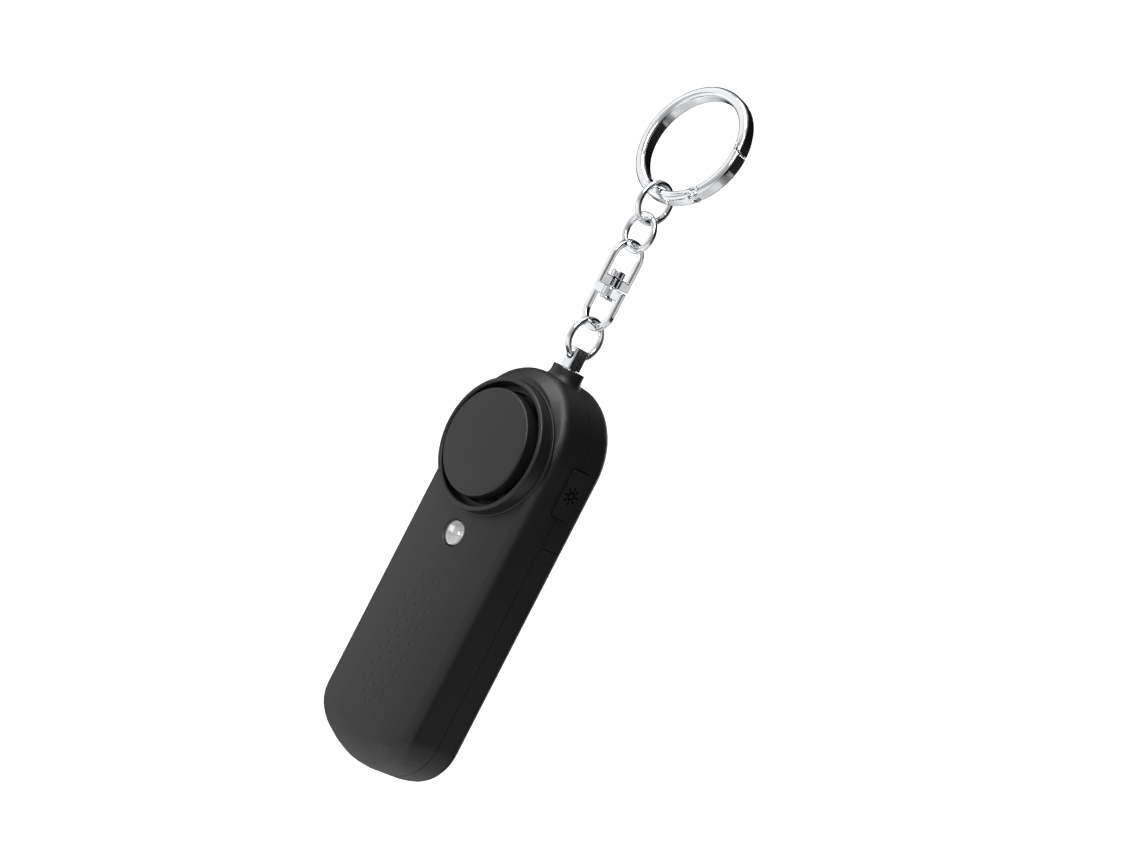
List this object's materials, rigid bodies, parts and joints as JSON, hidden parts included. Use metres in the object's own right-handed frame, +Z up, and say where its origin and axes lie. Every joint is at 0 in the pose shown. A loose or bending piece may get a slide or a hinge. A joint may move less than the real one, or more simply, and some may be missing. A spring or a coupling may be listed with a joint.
{
  "type": "personal safety alarm",
  "caption": "Pocket alarm with a round siren, a lamp and a grip front, hung by its pull pin from a swivel chain and a spring-gate ring.",
  "frame": {"origin": "centre of the clip ring's hole, from which the alarm hangs", "axes": "+Z up along the chain; the siren faces -Y; the light button is on +X"},
  "size_m": [0.0317, 0.0211, 0.1587],
  "materials": {
    "chrome": "bright plated",
    "black_plastic": "satin moulded",
    "spring_steel": "plain",
    "soft_foam": "matte",
    "brass": "plain",
    "ceramic": "matte",
    "wire_cover": "smooth",
    "clear_plastic": "clear",
    "switch_plastic": "moulded",
    "board": "lacquered",
    "copper_coil": "enamelled",
    "cell_jacket": "smooth"
  },
  "bodies": {
    "clip": {"clip_ring": "chrome", "gate_pin": "chrome", "gate_spring": "spring_steel"},
    "gate": {"clip_gate": "chrome"},
    "ring_upper": {"upper_ring": "chrome"},
    "ring_middle": {"middle_ring": "chrome"},
    "loop_upper": {"swivel_upper": "chrome"},
    "loop_lower": {"swivel_lower": "chrome", "swivel_rivet": "chrome"},
    "ring_lower": {"lower_ring": "chrome"},
    "pin": {"pull_pin": "chrome"},
    "button": {"light_button": "black_plastic", "switch_plunger": "switch_plastic"},
    "cover": {"battery_cover": "black_plastic"},
    "casing": {"front_shell": "black_plastic", "rear_shell": "black_plastic", "case_screws": "spring_steel", "pin_bush": "chrome", "siren_cap": "black_plastic", "siren_gasket": "soft_foam", "sounder_disc": "brass", "sounder_ceramic": "ceramic", "sounder_leads": "wire_cover", "lamp_lens": "clear_plastic", "lamp_leads": "spring_steel", "light_switch": "switch_plastic", "circuit_board": "board", "step_up_coil": "copper_coil", "control_chip": "switch_plastic", "pin_contact_left": "brass", "pin_contact_right": "brass", "battery_left": "cell_jacket", "battery_right": "cell_jacket", "battery_springs": "spring_steel", "battery_contacts": "brass"}
  },
  "joints": [
    {"name": "gate_open", "type": "hinge", "parent": "clip", "child": "gate", "pos_m": [0.00872, -0.00195, -0.00881], "axis": [0, -0.9763, 0.2164], "range_deg": [0, 28], "stiffness_Nm_per_rad": 0.02, "springref_deg": -11.46},
    {"name": "upper_ring_swing", "type": "hinge", "parent": "clip", "child": "ring_upper", "pos_m": [0, -0.00272, -0.01225], "axis": [1, 0, 0], "range_deg": [-20, 20]},
    {"name": "middle_ring_swing", "type": "hinge", "parent": "ring_upper", "child": "ring_middle", "pos_m": [0, -0.00272, -0.0185], "axis": [0, 1, 0], "range_deg": [-30, 30]},
    {"name": "swivel_swing", "type": "hinge", "parent": "ring_middle", "child": "loop_upper", "pos_m": [0, -0.00272, -0.02493], "axis": [1, 0, 0], "range_deg": [-30, 30]},
    {"name": "swivel_spin", "type": "hinge", "parent": "loop_upper", "child": "loop_lower", "pos_m": [0, -0.00272, -0.03364], "axis": [0, 0, 1], "continuous": true},
    {"name": "lower_ring_swing", "type": "hinge", "parent": "loop_lower", "child": "ring_lower", "pos_m": [0, -0.00272, -0.04289], "axis": [1, 0, 0], "range_deg": [-30, 30]},
    {"name": "pin_swing", "type": "hinge", "parent": "ring_lower", "child": "pin", "pos_m": [0, -0.00272, -0.04975], "axis": [0, 1, 0], "range_deg": [-30, 30]},
    {"name": "pin_pull", "type": "slide", "parent": "pin", "child": "casing", "axis": [0, 0, -1], "range_m": [0, 0.013]},
    {"name": "light_button_press", "type": "slide", "parent": "casing", "child": "button", "axis": [-1, 0, 0], "range_m": [0, 0.0006], "stiffness_N_per_m": 1500, "springref_m": -0.0002},
    {"name": "battery_cover_slide", "type": "slide", "parent": "casing", "child": "cover", "axis": [0, 0, -1], "range_m": [0, 0.02]}
  ]
}
